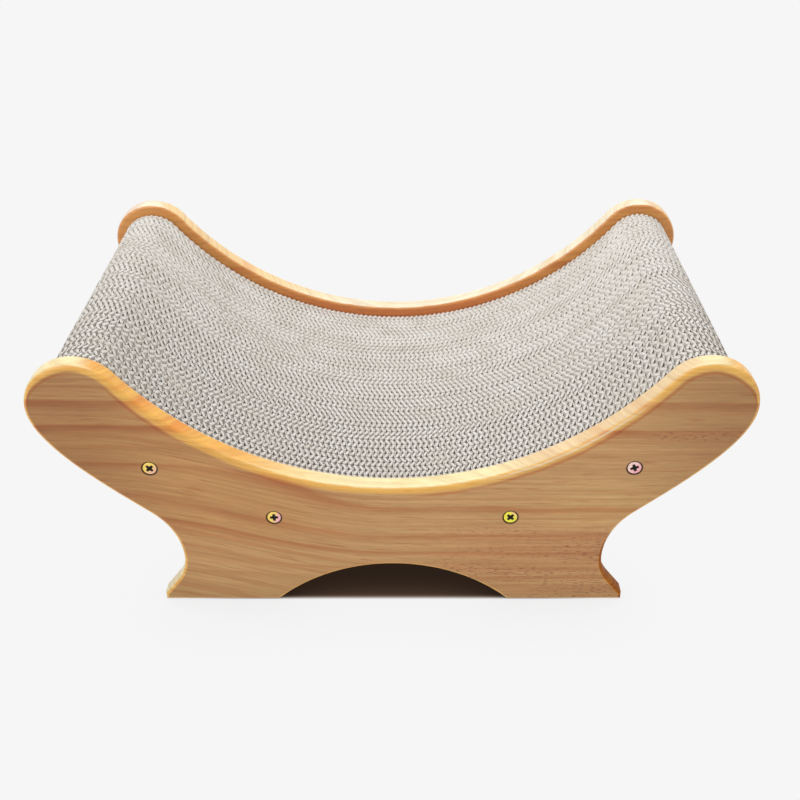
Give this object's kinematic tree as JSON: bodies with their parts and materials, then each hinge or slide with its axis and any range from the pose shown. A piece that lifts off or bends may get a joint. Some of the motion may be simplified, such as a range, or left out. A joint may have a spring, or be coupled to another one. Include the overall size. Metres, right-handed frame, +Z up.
{
  "type": "cat scratcher lounger",
  "caption": "Curved lounger for a cat: a notched block of glued corrugated cardboard lies over cross rails between two pine side panels.",
  "frame": {"origin": "on the floor, in the middle of the four feet", "axes": "+X along the seat from ear to ear, +Y from the front panel to the rear panel, +Z up"},
  "size_m": [0.45, 0.2696, 0.1842],
  "materials": {
    "panel_pine": "clear satin lacquer over sanded pine",
    "rail_pine": "bare planed pine",
    "screw_plating": "yellow zinc plating",
    "cardboard": "raw cut corrugated edges"
  },
  "bodies": {
    "frame": {"front_side_panel": "panel_pine", "rear_side_panel": "panel_pine", "outer_left_cross_rail": "rail_pine", "inner_left_cross_rail": "rail_pine", "inner_right_cross_rail": "rail_pine", "outer_right_cross_rail": "rail_pine", "front_outer_left_screw": "screw_plating", "front_inner_left_screw": "screw_plating", "front_inner_right_screw": "screw_plating", "front_outer_right_screw": "screw_plating", "rear_outer_left_screw": "screw_plating", "rear_inner_left_screw": "screw_plating", "rear_inner_right_screw": "screw_plating", "rear_outer_right_screw": "screw_plating"},
    "pad": {"cardboard_layer_01": "cardboard", "cardboard_layer_02": "cardboard", "cardboard_layer_03": "cardboard", "cardboard_layer_04": "cardboard", "cardboard_layer_05": "cardboard", "cardboard_layer_06": "cardboard", "cardboard_layer_07": "cardboard", "cardboard_layer_08": "cardboard", "cardboard_layer_09": "cardboard", "cardboard_layer_10": "cardboard", "cardboard_layer_11": "cardboard", "cardboard_layer_12": "cardboard", "cardboard_layer_13": "cardboard", "cardboard_layer_14": "cardboard", "cardboard_layer_15": "cardboard", "cardboard_layer_16": "cardboard", "cardboard_layer_17": "cardboard", "cardboard_layer_18": "cardboard", "cardboard_layer_19": "cardboard", "cardboard_layer_20": "cardboard", "cardboard_layer_21": "cardboard", "cardboard_layer_22": "cardboard", "cardboard_layer_23": "cardboard", "cardboard_layer_24": "cardboard", "cardboard_layer_25": "cardboard", "cardboard_layer_26": "cardboard", "cardboard_layer_27": "cardboard", "cardboard_layer_28": "cardboard", "cardboard_layer_29": "cardboard", "cardboard_layer_30": "cardboard", "cardboard_layer_31": "cardboard", "cardboard_layer_32": "cardboard", "cardboard_layer_33": "cardboard", "cardboard_layer_34": "cardboard", "cardboard_layer_35": "cardboard", "cardboard_layer_36": "cardboard", "cardboard_layer_37": "cardboard", "cardboard_layer_38": "cardboard", "cardboard_layer_39": "cardboard", "cardboard_layer_40": "cardboard", "cardboard_layer_41": "cardboard", "cardboard_layer_42": "cardboard", "cardboard_layer_43": "cardboard", "cardboard_layer_44": "cardboard", "cardboard_layer_45": "cardboard"}
  },
  "joints": [
    {"name": "pad_lift", "type": "slide", "parent": "frame", "child": "pad", "axis": [0, 0, 1], "range_m": [0, 0.16]}
  ]
}
